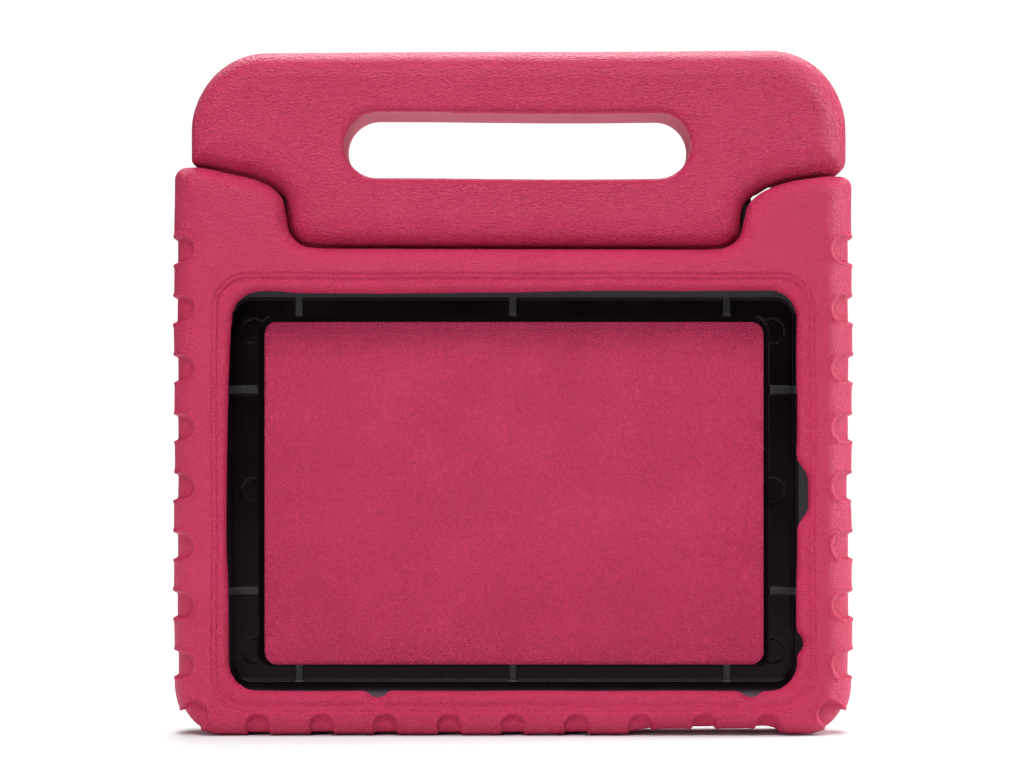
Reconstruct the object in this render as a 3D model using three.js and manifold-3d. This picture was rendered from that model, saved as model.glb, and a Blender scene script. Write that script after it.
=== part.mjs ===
// A tablet case of moulded foam with a carrying handle that folds back to make a stand.
// Millimetres. X runs to the right, Y from the screen side to the back, Z up.
// The origin is under the middle of the foot.
import * as THREE from 'three';
import { mergeVertices } from 'three/addons/utils/BufferGeometryUtils.js';
import Module from 'manifold-3d';

const wasm = await Module();
wasm.setup();

// Clearance between pieces that touch on the real object
const GAP = 0.3;

// Foam body
const BODY_HALF = 135;
const BODY_FRONT = -15;
const BODY_BACK = 15;
const EDGE_ROUND = 6;
const FOOT_CORNER = 20;
const EAR_CORNER = 7.5;
// The line between body and handle: how high each ear's top lies, and from there the shoulder
// down to the notch's floor as X outward and Z
const EAR_TOP = { left: 225.3, right: 222 };
const SHOULDER = {
  left: [
    [120, 224.4], [111, 222.3], [103, 220.6], [96, 217.4], [91.4, 212.6],
    [89.9, 205.5], [88.3, 199], [84, 194.6], [77, 193.2],
  ],
  right: [
    [120, 221.2], [111, 219.8], [103, 217.4], [97, 214.2], [93.2, 210],
    [91.5, 204], [89.6, 197.6], [84.6, 193.5], [77, 192.7],
  ],
};
// Half the gap along that line
const HALF_GAP = { left: 0.6, right: 0.5 };

// Front opening, pocket and the line of the tablet: half width, half height, corner radius
const POCKET_Z = 96.3;
const OPENING = { halfX: 113, halfZ: 79.6, corner: 11 };
const POCKET = { halfX: 122.3, halfZ: 87, corner: 13 };
const LIP_BACK = -10.5;
const HOME_NOTCH = { depth: 4.6, halfAtEdge: 13, halfAtFloor: 6.8 };
const THUMB_NOTCH = { radius: 4.3, inside: 1.8, bottomX: [-53.8, 94.9], rightZ: 35.5 };
const PORT = { halfZ: 6.5, front: -7.2, back: -2.6 };

// Grip scallops around the sides and the foot
const SIDE_SCALLOP = { count: 8, first: 28, pitch: 23.3, half: 5.5, reach: 8 };
const FOOT_SCALLOP = { count: 9, pitch: 25, half: 4.8, reach: 6.4 };
const SCALLOP_DEPTH = 1.4;

// Inner tray
const TRAY = { halfX: 122, halfZ: 86.7, corner: 12.7, front: -7.5, back: 0, floor: -2.2 };
const TRAY_WALL = 1.5;
const TRAY_FILLET = 11;
const TRAY_BACK_ROUND = 4;
const WINDOW = { halfX: 101, halfZ: 69.5, corner: 5.5 };
const RIB = { width: 2.2, height: 0.8, x: [-86, 0, 86], z: [-40, 40] };
const MARK = { radius: 5, depth: 0.4, x: 104.5, z: [-63.5, 0, 63.5] };
const ARM = { inner: 99, outer: 115, bottom: 175, top: 210 };

// Handle
const HANDLE = { half: 130.4, top: 271.2, front: -13, back: 13, topCorner: 28, lowCorner: 6.5 };
const SLOT = { halfX: 67.5, bottom: 220, top: 243 };
const CORE = { front: -6, back: 0, beamHalf: 80, beamBottom: 198, ringHalf: 114, ringTop: 259 };
const CORE_WINDOW = { halfX: 72.5, bottom: 215.5, top: 247.5 };

// Fold hinge
const PIVOT_Y = 7.5;
const PIVOT_Z = 206;
const RECESS = { radius: 13.5, from: 88.7, to: 104 };
const HUB = { radius: 5, from: 82, to: 89, tongueFrom: 64, halfZ: 5, front: 0.3, back: 3.3 };
const WASHER = { from: 89.3, to: 90.7, radius: 4.9 };
const PLATE = { from: 91, to: 94.5, radius: 12.5, back: 12.8 };
const FLANGE = { to: 115, front: 0.3, back: 3.3, bottom: 200, top: 210 };
const PIN = { radius: 2.2, from: 79.5, to: 94.8, headTo: 97, headRadius: 3.8 };
const CLIP = { from: 80, to: 81.6, radius: 3.7 };
const SCREW = { radius: 1.3, headRadius: 2.8, headFrom: 3.6, headTo: 5.2, tip: -4 };
const BRACKET_SCREW_X = [104, 111];
const BRACKET_SCREW_Z = 205;
const HUB_SCREW_X = [69, 76];

const FAR = 40;
const ROUND_STEPS = 20;
const SIDES = { left: -1, right: 1 };

// ---- Solids ----

function solid(geometry) {
  geometry.deleteAttribute('normal');
  geometry.deleteAttribute('uv');
  const merged = mergeVertices(geometry, 1e-4);
  return new wasm.Manifold(new wasm.Mesh({
    numProp: 3,
    vertProperties: Float32Array.from(merged.attributes.position.array),
    triVerts: Uint32Array.from(merged.index.array),
  }));
}

const union = (solids) => solids.reduce((all, next) => all.add(next));

// An outline in X and Z, extruded along Y. inset and deep round its front and back edges,
// and grow makes it larger all round.
function slab(shape, front, back, { inset = 0, deep = inset, grow = 0 } = {}) {
  const thickness = deep || grow;
  const geometry = new THREE.ExtrudeGeometry(shape, {
    depth: back - front + 2 * grow - 2 * thickness,
    bevelEnabled: thickness > 0,
    bevelThickness: thickness,
    bevelSize: inset,
    bevelOffset: grow - inset,
    bevelSegments: inset > 0 ? 3 : 1,
    curveSegments: 5,
  });
  geometry.rotateX(Math.PI / 2);
  geometry.translate(0, back + grow - thickness, 0);
  return solid(geometry);
}

function box([x0, x1], [y0, y1], [z0, z1]) {
  const geometry = new THREE.BoxGeometry(x1 - x0, y1 - y0, z1 - z0);
  geometry.translate((x0 + x1) / 2, (y0 + y1) / 2, (z0 + z1) / 2);
  return solid(geometry);
}

// Spans along X that mirror with the side they are on
const span = (side, from, to) => (side > 0 ? [from, to] : [-to, -from]);

function rodAlongX(side, from, to, radius, y = PIVOT_Y, z = PIVOT_Z, steps = ROUND_STEPS) {
  const geometry = new THREE.CylinderGeometry(radius, radius, to - from, steps);
  geometry.rotateZ(Math.PI / 2);
  geometry.translate((side * (from + to)) / 2, y, z);
  return solid(geometry);
}

function rodAlongY(x, from, to, z, radius, steps = 12) {
  const geometry = new THREE.CylinderGeometry(radius, radius, to - from, steps);
  geometry.translate(x, (from + to) / 2, z);
  return solid(geometry);
}

// ---- Outlines in X and Z ----

function roundedRectangle({ halfX, halfZ, corner }, middleZ = POCKET_Z) {
  const shape = new THREE.Shape();
  const [right, top] = [halfX - corner, halfZ - corner];
  shape.absarc(right, middleZ + top, corner, 0, Math.PI / 2);
  shape.absarc(-right, middleZ + top, corner, Math.PI / 2, Math.PI);
  shape.absarc(-right, middleZ - top, corner, Math.PI, 1.5 * Math.PI);
  shape.absarc(right, middleZ - top, corner, 1.5 * Math.PI, 2 * Math.PI);
  return shape;
}

// The shoulder line of one side, from the ear to the notch floor, moved up by a distance
function shoulderLine(name, distance) {
  const side = SIDES[name];
  const curve = new THREE.SplineCurve(SHOULDER[name].map(([x, z]) => new THREE.Vector2(side * x, z)));
  const steps = 14;
  return Array.from({ length: steps + 1 }, (_, i) => {
    const along = curve.getTangent(i / steps);
    const up = new THREE.Vector2(-along.y, along.x).multiplyScalar(-side * distance);
    return curve.getPoint(i / steps).add(up);
  });
}

function bodyOutline() {
  const shape = new THREE.Shape();
  const corner = BODY_HALF - FOOT_CORNER;
  const earCorner = BODY_HALF - EAR_CORNER;
  const earTop = (name) => EAR_TOP[name] - HALF_GAP[name] - EAR_CORNER;
  shape.absarc(corner, FOOT_CORNER, FOOT_CORNER, -Math.PI / 2, 0);
  shape.absarc(earCorner, earTop('right'), EAR_CORNER, 0, Math.PI / 2);
  shoulderLine('right', -HALF_GAP.right).forEach((point) => shape.lineTo(point.x, point.y));
  shoulderLine('left', -HALF_GAP.left).reverse().forEach((point) => shape.lineTo(point.x, point.y));
  shape.absarc(-earCorner, earTop('left'), EAR_CORNER, Math.PI / 2, Math.PI);
  shape.absarc(-corner, FOOT_CORNER, FOOT_CORNER, Math.PI, 1.5 * Math.PI);
  return shape;
}

function handleOutline() {
  const shape = new THREE.Shape();
  const side = HANDLE.half - HANDLE.topCorner;
  const lowSide = HANDLE.half - HANDLE.lowCorner;
  const top = HANDLE.top - HANDLE.topCorner;
  const low = (name) => EAR_TOP[name] + HALF_GAP[name] + HANDLE.lowCorner;
  shape.absarc(side, top, HANDLE.topCorner, 0, Math.PI / 2);
  shape.absarc(-side, top, HANDLE.topCorner, Math.PI / 2, Math.PI);
  shape.absarc(-lowSide, low('left'), HANDLE.lowCorner, Math.PI, 1.5 * Math.PI);
  shoulderLine('left', HALF_GAP.left).forEach((point) => shape.lineTo(point.x, point.y));
  shoulderLine('right', HALF_GAP.right).reverse().forEach((point) => shape.lineTo(point.x, point.y));
  shape.absarc(lowSide, low('right'), HANDLE.lowCorner, 1.5 * Math.PI, 2 * Math.PI);
  return shape;
}

function slotOutline() {
  const shape = new THREE.Shape();
  const radius = (SLOT.top - SLOT.bottom) / 2;
  const middle = (SLOT.top + SLOT.bottom) / 2;
  shape.absarc(SLOT.halfX - radius, middle, radius, -Math.PI / 2, Math.PI / 2);
  shape.absarc(radius - SLOT.halfX, middle, radius, Math.PI / 2, 1.5 * Math.PI);
  return shape;
}

function coreOutline() {
  const { beamHalf, beamBottom, ringHalf, ringTop } = CORE;
  const half = [
    [beamHalf, beamBottom], [beamHalf, beamBottom + 14], [ringHalf - 8, 230],
    [ringHalf, 236], [ringHalf, ringTop - 12], [ringHalf - 12, ringTop],
  ];
  const other = half.map(([x, z]) => [-x, z]).reverse();
  const shape = new THREE.Shape([...half, ...other].map(([x, z]) => new THREE.Vector2(x, z)));
  const { halfX, bottom, top } = CORE_WINDOW;
  const cut = { halfX, halfZ: (top - bottom) / 2, corner: 15 };
  shape.holes.push(new THREE.Path(roundedRectangle(cut, (top + bottom) / 2).getPoints(6)));
  return shape;
}

// ---- Hinge pieces, each on the left or the right ----

function screw(x, z, grow = 0) {
  const { radius, headRadius, headFrom, headTo, tip } = SCREW;
  const head = rodAlongY(x, headFrom - grow, headTo + grow, z, headRadius + grow);
  const drive = grow ? [] : [rodAlongY(x, headTo - 0.9, headTo + 1, z, 1.3, 6)];
  const shank = rodAlongY(x, tip - grow, headTo - 1, z, radius + grow);
  return drive.reduce((piece, recess) => piece.subtract(recess), head.add(shank));
}

function pivotPin(side, grow = 0) {
  const { radius, from, to, headTo, headRadius } = PIN;
  const shank = rodAlongX(side, from - grow, to + 0.5, radius + grow);
  return shank.add(rodAlongX(side, to - grow, headTo + grow, headRadius + grow));
}

const pinHole = (side) => rodAlongX(side, 60, 100, PIN.radius + GAP);

const retainingClip = (side) => rodAlongX(side, CLIP.from, CLIP.to, CLIP.radius).subtract(pinHole(side));

const hingeWasher = (side) => rodAlongX(side, WASHER.from, WASHER.to, WASHER.radius).subtract(pinHole(side));

// The rounded plate that carries the pin in the ear, with its flange behind the tray's arm
function bracketBlank(side, grow = 0) {
  const plate = rodAlongX(side, PLATE.from - grow, PLATE.to + grow, PLATE.radius + grow, PIVOT_Y, PIVOT_Z, 32);
  const behind = box([-FAR * 4, FAR * 4], [PLATE.back + grow, FAR], [150, 250]);
  const flange = box(
    span(side, PLATE.to - 1, FLANGE.to + grow),
    [FLANGE.front - grow, FLANGE.back + grow],
    [FLANGE.bottom - grow, FLANGE.top + grow],
  );
  return plate.subtract(behind).add(flange);
}

function hingeBracket(side) {
  const holes = BRACKET_SCREW_X.map((x) => rodAlongY(side * x, -FAR, FAR, BRACKET_SCREW_Z, SCREW.radius + GAP));
  return bracketBlank(side).subtract(union([pinHole(side), ...holes]));
}

// The knuckle at each end of the handle's beam, with a tongue behind the core
function hubBlank(side, grow = 0) {
  const z = [PIVOT_Z - HUB.halfZ - grow, PIVOT_Z + HUB.halfZ + grow];
  const knuckle = rodAlongX(side, HUB.from - grow, HUB.to + grow, HUB.radius + grow);
  const web = box(span(side, HUB.from - grow, HUB.from + 4 + grow), [HUB.front - grow, PIVOT_Y], z);
  const tongue = box(span(side, HUB.tongueFrom - grow, HUB.from + 2), [HUB.front - grow, HUB.back + grow], z);
  return union([knuckle, web, tongue]);
}

function hingeHub(side) {
  const holes = HUB_SCREW_X.map((x) => rodAlongY(side * x, -FAR, FAR, PIVOT_Z, SCREW.radius + GAP));
  return hubBlank(side).subtract(union([pinHole(side), ...holes]));
}

// ---- Large pieces ----

function trayArm(side, grow = 0) {
  return box(
    span(side, ARM.inner - grow, ARM.outer + grow),
    [TRAY.floor - grow, TRAY.back + grow],
    [ARM.bottom, ARM.top + grow],
  );
}

function portCut(front, back, from) {
  return box([from, BODY_HALF + 5], [front, back], [POCKET_Z - PORT.halfZ, POCKET_Z + PORT.halfZ]);
}

function trayRibs() {
  const y = [TRAY.floor - RIB.height, TRAY.floor + 1];
  const reachX = TRAY.halfX - TRAY_FILLET + 3;
  const reachZ = TRAY.halfZ - TRAY_FILLET + 3;
  const upright = RIB.x.map((x) => box(
    [x - RIB.width / 2, x + RIB.width / 2], y, [POCKET_Z - reachZ, POCKET_Z + reachZ],
  ));
  const level = RIB.z.map((z) => box(
    [-reachX, reachX], y, [POCKET_Z + z - RIB.width / 2, POCKET_Z + z + RIB.width / 2],
  ));
  return union([...upright, ...level]);
}

function innerTray() {
  const outer = slab(roundedRectangle(TRAY), -FAR, TRAY.back, { inset: TRAY_BACK_ROUND })
    .subtract(box([-200, 200], [-2 * FAR, TRAY.front], [-FAR, 300]));
  const inside = {
    halfX: TRAY.halfX - TRAY_WALL,
    halfZ: TRAY.halfZ - TRAY_WALL,
    corner: TRAY.corner - TRAY_WALL,
  };
  const hollow = slab(roundedRectangle(inside), -FAR, TRAY.floor, {
    inset: TRAY_FILLET,
    deep: TRAY.floor - TRAY.front,
  });
  const marks = [-MARK.x, MARK.x].flatMap((x) => MARK.z.map(
    (z) => rodAlongY(x, TRAY.floor - 2, TRAY.floor + MARK.depth, POCKET_Z + z, MARK.radius, 20),
  ));
  const screwHoles = Object.values(SIDES).flatMap((side) => BRACKET_SCREW_X.map(
    (x) => rodAlongY(side * x, -FAR, FAR, BRACKET_SCREW_Z, SCREW.radius + GAP),
  ));
  const shell = outer.subtract(hollow).add(trayRibs()).add(trayArm(-1)).add(trayArm(1));
  const window = slab(roundedRectangle(WINDOW), -FAR, FAR);
  return shell.subtract(union([window, portCut(PORT.front, PORT.back, TRAY.halfX - 4), ...marks, ...screwHoles]));
}

// One grip scallop's outline, pushed in from the edge at (x, z) towards the turned +X
function scallop(x, z, turn, { half, reach }) {
  const shape = new THREE.Shape();
  shape.moveTo(-FAR / 4, -half);
  shape.absarc(reach - half, 0, half, -Math.PI / 2, Math.PI / 2);
  shape.lineTo(-FAR / 4, half);
  const geometry = new THREE.ExtrudeGeometry(shape, { depth: FAR, bevelEnabled: false, curveSegments: 3 });
  geometry.rotateX(Math.PI / 2);
  geometry.rotateY(turn);
  geometry.translate(x, FAR / 2, z);
  return solid(geometry);
}

function scallops() {
  const heights = Array.from({ length: SIDE_SCALLOP.count }, (_, i) => SIDE_SCALLOP.first + i * SIDE_SCALLOP.pitch);
  const middle = (FOOT_SCALLOP.count - 1) / 2;
  const places = Array.from({ length: FOOT_SCALLOP.count }, (_, i) => (i - middle) * FOOT_SCALLOP.pitch);
  const cornerX = BODY_HALF - FOOT_CORNER * (1 - Math.SQRT1_2);
  const cornerZ = FOOT_CORNER * (1 - Math.SQRT1_2);
  return union([
    ...heights.map((z) => scallop(-BODY_HALF, z, 0, SIDE_SCALLOP)),
    ...heights.map((z) => scallop(BODY_HALF, z, Math.PI, SIDE_SCALLOP)),
    ...places.map((x) => scallop(x, 0, -Math.PI / 2, FOOT_SCALLOP)),
    scallop(-cornerX, cornerZ, -Math.PI / 4, FOOT_SCALLOP),
    scallop(cornerX, cornerZ, -0.75 * Math.PI, FOOT_SCALLOP),
  ]);
}

function homeNotch() {
  const { depth, halfAtEdge, halfAtFloor } = HOME_NOTCH;
  const edge = OPENING.halfX;
  const points = [
    [edge - 4, POCKET_Z - halfAtEdge], [edge, POCKET_Z - halfAtEdge], [edge + depth, POCKET_Z - halfAtFloor],
    [edge + depth, POCKET_Z + halfAtFloor], [edge, POCKET_Z + halfAtEdge], [edge - 4, POCKET_Z + halfAtEdge],
  ];
  const shape = new THREE.Shape(points.map(([x, z]) => new THREE.Vector2(x, z)));
  return slab(shape, BODY_FRONT - 5, LIP_BACK + 1);
}

function thumbNotches() {
  const { radius, inside, bottomX, rightZ } = THUMB_NOTCH;
  const bottom = POCKET_Z - OPENING.halfZ + inside;
  const y = [BODY_FRONT - 5, LIP_BACK + 1];
  return union([
    ...bottomX.map((x) => rodAlongY(x, ...y, bottom, radius, 16)),
    rodAlongY(OPENING.halfX - inside, ...y, rightZ, radius, 16),
  ]);
}

function foamShell() {
  const outline = bodyOutline();
  const block = slab(outline, BODY_FRONT, BODY_BACK, { inset: EDGE_ROUND });
  const inner = slab(outline, BODY_FRONT, BODY_BACK, {
    inset: EDGE_ROUND - SCALLOP_DEPTH,
    grow: -SCALLOP_DEPTH,
  });
  const opening = slab(roundedRectangle(OPENING), -FAR, LIP_BACK + 1);
  const pocket = slab(roundedRectangle(POCKET), -FAR, TRAY.back + GAP, { inset: TRAY_BACK_ROUND })
    .subtract(box([-200, 200], [-2 * FAR, LIP_BACK], [-FAR, 300]));
  const hinges = Object.values(SIDES).flatMap((side) => [
    trayArm(side, GAP),
    bracketBlank(side, GAP),
    rodAlongX(side, RECESS.from, PLATE.to, PLATE.radius + GAP, PIVOT_Y, PIVOT_Z, 32),
    pivotPin(side, GAP),
    ...BRACKET_SCREW_X.map((x) => screw(side * x, BRACKET_SCREW_Z, GAP)),
  ]);
  const port = portCut(PORT.front, PORT.back, POCKET.halfX - 1);
  return block
    .subtract(scallops().subtract(inner))
    .subtract(union([opening, pocket, homeNotch(), thumbNotches(), port, ...hinges]));
}

function handleCore(grow = 0) {
  const plate = slab(coreOutline(), CORE.front, CORE.back, { grow });
  const holes = Object.values(SIDES).flatMap((side) => HUB_SCREW_X.map(
    (x) => rodAlongY(side * x, SCREW.tip - 2 * GAP, FAR, PIVOT_Z, SCREW.radius + GAP),
  ));
  return grow ? plate : plate.subtract(union(holes));
}

function handleFoam() {
  const block = slab(handleOutline(), HANDLE.front, HANDLE.back, { inset: EDGE_ROUND });
  const hinges = Object.values(SIDES).flatMap((side) => [
    rodAlongX(side, RECESS.from, RECESS.to, RECESS.radius, PIVOT_Y, PIVOT_Z, 32),
    hubBlank(side, GAP),
    rodAlongX(side, CLIP.from - 2, HUB.to + 1, HUB.radius + GAP),
    ...HUB_SCREW_X.map((x) => screw(side * x, PIVOT_Z, GAP)),
  ]);
  return block.subtract(union([slab(slotOutline(), -FAR, FAR), handleCore(GAP), ...hinges]));
}

// ---- Assembly ----

const FOAM = { color: 0xbf3b60, roughness: 0.75, metalness: 0 };
const BLACK_PLASTIC = { color: 0x17151a, roughness: 0.45, metalness: 0 };
const CORE_PLASTIC = { color: 0x55555a, roughness: 0.6, metalness: 0 };
const STEEL = { color: 0xa8a8ac, roughness: 0.35, metalness: 1 };

const tabletCase = new THREE.Group();

function place(name, piece, finish) {
  const { vertProperties, triVerts } = piece.getMesh();
  const geometry = new THREE.BufferGeometry();
  geometry.setAttribute('position', new THREE.BufferAttribute(vertProperties, 3));
  geometry.setIndex(new THREE.BufferAttribute(triVerts, 1));
  const mesh = new THREE.Mesh(geometry, new THREE.MeshStandardMaterial(finish));
  mesh.name = name;
  tabletCase.add(mesh);
}

place('foam_shell', foamShell(), FOAM);
place('inner_tray', innerTray(), BLACK_PLASTIC);
place('handle_foam', handleFoam(), FOAM);
place('handle_core', handleCore(), CORE_PLASTIC);
Object.entries(SIDES).forEach(([name, side]) => {
  place(`hinge_bracket_${name}`, hingeBracket(side), BLACK_PLASTIC);
  place(`hinge_hub_${name}`, hingeHub(side), BLACK_PLASTIC);
  place(`pivot_pin_${name}`, pivotPin(side), STEEL);
  place(`retaining_clip_${name}`, retainingClip(side), STEEL);
  place(`friction_washer_${name}`, hingeWasher(side), STEEL);
  BRACKET_SCREW_X.forEach((x, i) => {
    place(`bracket_screw_${name}_${i + 1}`, screw(side * x, BRACKET_SCREW_Z), STEEL);
  });
  HUB_SCREW_X.forEach((x, i) => {
    place(`hub_screw_${name}_${i + 1}`, screw(side * x, PIVOT_Z), STEEL);
  });
});

export default tabletCase;
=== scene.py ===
"""A moulded foam tablet case with a hard inner tray and a folding carry handle.

The foam body, the handle's foam and the tray are signed-distance shapes in millimetres, meshed on
a grid whose lines lie closer together where the detail is, and scaled to metres. Distances are
negative inside. The hinge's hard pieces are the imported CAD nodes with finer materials.
"""
import math

import bpy
import numpy as np
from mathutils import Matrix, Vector


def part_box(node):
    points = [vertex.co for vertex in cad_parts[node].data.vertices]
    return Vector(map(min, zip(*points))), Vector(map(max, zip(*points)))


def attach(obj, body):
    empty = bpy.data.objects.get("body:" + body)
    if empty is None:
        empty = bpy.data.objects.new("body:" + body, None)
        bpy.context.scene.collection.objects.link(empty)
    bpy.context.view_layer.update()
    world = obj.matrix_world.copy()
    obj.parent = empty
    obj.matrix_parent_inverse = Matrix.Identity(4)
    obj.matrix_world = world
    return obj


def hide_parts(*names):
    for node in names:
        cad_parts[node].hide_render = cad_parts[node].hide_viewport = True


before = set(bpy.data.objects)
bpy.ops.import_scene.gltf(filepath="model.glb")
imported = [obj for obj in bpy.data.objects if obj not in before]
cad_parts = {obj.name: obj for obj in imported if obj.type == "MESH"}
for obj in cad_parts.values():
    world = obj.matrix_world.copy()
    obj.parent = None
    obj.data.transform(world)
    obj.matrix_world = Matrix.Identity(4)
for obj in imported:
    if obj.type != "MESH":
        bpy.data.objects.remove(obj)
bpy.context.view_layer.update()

MM = 0.001


def box_mm(node):
    """A CAD node's lowest and highest corners in millimetres."""
    low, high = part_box(node)
    return np.array(low) / MM, np.array(high) / MM


BODY_HIGH = box_mm("foam_shell")[1]
HANDLE_HIGH = box_mm("handle_foam")[1]
TRAY_LOW, TRAY_HIGH = box_mm("inner_tray")
PIN_LOW, PIN_HIGH = box_mm("pivot_pin_right")

# The fold hinge: its axis, and the room in the foam for its plates and pins, which ends at HINGE_BACK
PIVOT_Y = (PIN_LOW[1] + PIN_HIGH[1]) / 2
PIVOT_Z = (PIN_LOW[2] + PIN_HIGH[2]) / 2
HINGE_BACK = 13.2
HINGE_PLATE = {"radius": 12.9, "middle_x": 91.7, "half": 3.2}
PIN_ROOM = {"radius": 4.3, "middle_x": 93, "half": 4.3}

# Foam body
BODY_HALF = BODY_HIGH[0]
BODY_DEEP = BODY_HIGH[1]
BODY_SHRINK = 0.6
FOOT_LIFT = 0.15
FOOT_HOLLOW = 2.3
FOOT_CORNER = 20
EAR_CORNER = 5
SIDE_ROUND = 12
FOOT_ROUND = 7
SHOULDER_ROUND = 7
HANDLE_LOW_ROUND = 10
BACK_ROUND = 3

# The tray's pocket in the foam, the opening in the lip in front of it, and the port in the side
POCKET_Z = 96.3
POCKET = {"half_x": 122.3, "half_z": 87, "corner": 13}
LIP_BACK = -10.5
LIP_CUT_BACK = -9
LIP_ROUND = 4.2
PANEL_Y = 0.3
BACK_GROOVE = {"half_x": 112, "half_z": 80, "corner": 11}
OPENING = {"half_x": 111.5, "half_z": 78.5, "corner": 11}
HOME_NOTCH = {"floor_x": 116, "middle_z": 95.4, "half": 6.4, "slope": 1.5, "corner": 0.9, "open_x": 108}
THUMB_NOTCHES = [(-53.1, 19.6), (93.6, 19.6), (109.8, 36.3)]
THUMB_RADIUS = 4.1
THUMB_DIP = {"depth": 0.7, "border": 1.1}
LIP_STEP = {"half_x": 116.3, "half_z": 84.3, "corner": 12.3, "middle_z": 95.5}
PORT = {"y": -4.9, "half_y": 2.3, "half_z": 6.5, "inner_x": 118}

# The middle of the gap between body and handle, from the left ear over the notch to the right ear
SHOULDER = [
    (-136, 224.8), (-127, 224.8), (-119, 223.5), (-110, 221.4), (-102, 219.6), (-95.2, 216.5),
    (-90.6, 211.8), (-89.1, 204.7), (-87.6, 198.3), (-83.4, 193.9), (-76.5, 192.5),
    (-60, 192.3), (0, 192.1), (60, 192),
    (76.5, 192), (84, 192.8), (89, 196.8), (90.8, 203.2), (92.4, 209.1),
    (96.2, 213.3), (102, 216.5), (110, 218.9), (119, 220.2), (127, 221.2), (136, 221.6),
]
SHOULDER_STEPS = 5
HALF_GAP = 0.5
GAP_STEP = 1.5

# Grip scallops round the sides and the foot
SIDE_SCALLOP = {"count": 8, "first": 28, "pitch": 23.3, "half": 4.9, "reach": 9.6}
FOOT_SCALLOP = {"count": 9, "pitch": 25, "half": 4.5, "reach": 8.5}
CORNER_SCALLOP = {"in_x": 11.6, "z": 9.6, "half": 5, "short": 1.6}
SCALLOP_DEPTH = 1.5
SCALLOP_EDGE = 0.9
SCALLOP_BEAD = 0.42

# Handle
HANDLE_SHIFT = 2.2
HANDLE_HALF = 129.6
HANDLE_CORNER = 30
HANDLE_TOP = HANDLE_HIGH[2] - 0.5
HANDLE_DEEP = HANDLE_HIGH[1]
HANDLE_ROUND = 12
SLOT_ROUND = 3.4
SLOT = {"middle_x": 1.8, "middle_z": 231.9, "half_x": 68, "half_z": 12.7}
RECESS = {"radius": 13.5, "inner": 90.0, "outer": 104}


# ---- Distance functions ----

def smoothstep(low, high, value):
    share = np.clip((value - low) / (high - low), 0, 1)
    return share * share * (3 - 2 * share)


def inside(distance, width):
    """1 well inside a shape, 0 well outside, changing over a width."""
    return 1 - smoothstep(-width / 2, width / 2, distance)


def hump(value, middle, half):
    """1 at the middle, falling smoothly to 0 at half to either side."""
    return smoothstep(-half, 0, value - middle) * (1 - smoothstep(0, half, value - middle))


def soft_max(a, b, radius):
    near = np.maximum(radius - np.abs(a - b), 0) / radius
    return np.maximum(a, b) + near * near * radius / 4


def soft_min(a, b, radius):
    return -soft_max(-a, -b, radius)


def rounded(a, b, radius):
    """The overlap of two shapes, with a round edge of that radius where they meet."""
    outer = np.hypot(np.maximum(a + radius, 0), np.maximum(b + radius, 0))
    return np.minimum(np.maximum(a, b) + radius, 0) + outer - radius


def rectangle(x, z, half_x, half_z, corner, middle_z=POCKET_Z):
    return rounded(np.abs(x) - half_x, np.abs(z - middle_z) - half_z, corner)


def finger(along, across, half):
    """A long shape, 2 half wide, with a round end whose middle is at along = 0."""
    return np.hypot(np.maximum(along, 0), across) - half


def stadium(x, z, half_x, half_z):
    return finger(np.abs(x) - half_x + half_z, z, half_z)


def spline(points, steps):
    """A smooth line through the points."""
    rows = np.array(points, float)
    rows = np.vstack([2 * rows[0] - rows[1], rows, 2 * rows[-1] - rows[-2]])
    t = np.arange(steps)[:, None] / steps
    pieces = []
    for a, b, c, d in zip(rows, rows[1:], rows[2:], rows[3:]):
        cubic = (2 * a - 5 * b + 4 * c - d) * t ** 2 + (3 * b - a - 3 * c + d) * t ** 3
        pieces.append((2 * b + (c - a) * t + cubic) / 2)
    return np.vstack(pieces + [rows[-2:-1]])


SHOULDER_LINE = spline(SHOULDER, SHOULDER_STEPS)


def gap_step(x, y):
    """How far the gap steps down behind the front edge, which keeps light from shining through it."""
    curved = smoothstep(66, 74, np.abs(x)) * smoothstep(-122, -112, x) * (1 - smoothstep(94, 102, x))
    return GAP_STEP * curved * smoothstep(-6, -2, y)


def shoulder(x, z):
    """Distance to the middle of the gap, negative on the body's side."""
    nearest = np.full(np.broadcast(x, z).shape, 1e9)
    for (x0, z0), (x1, z1) in zip(SHOULDER_LINE, SHOULDER_LINE[1:]):
        along_x, along_z = x1 - x0, z1 - z0
        share = ((x - x0) * along_x + (z - z0) * along_z) / (along_x ** 2 + along_z ** 2)
        share = np.clip(share, 0, 1)
        away = (x - x0 - share * along_x) ** 2 + (z - z0 - share * along_z) ** 2
        nearest = np.minimum(nearest, away)
    height = np.interp(x, SHOULDER_LINE[:, 0], SHOULDER_LINE[:, 1])
    return np.sqrt(nearest) * np.sign(z - height)


# ---- Foam body ----

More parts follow.
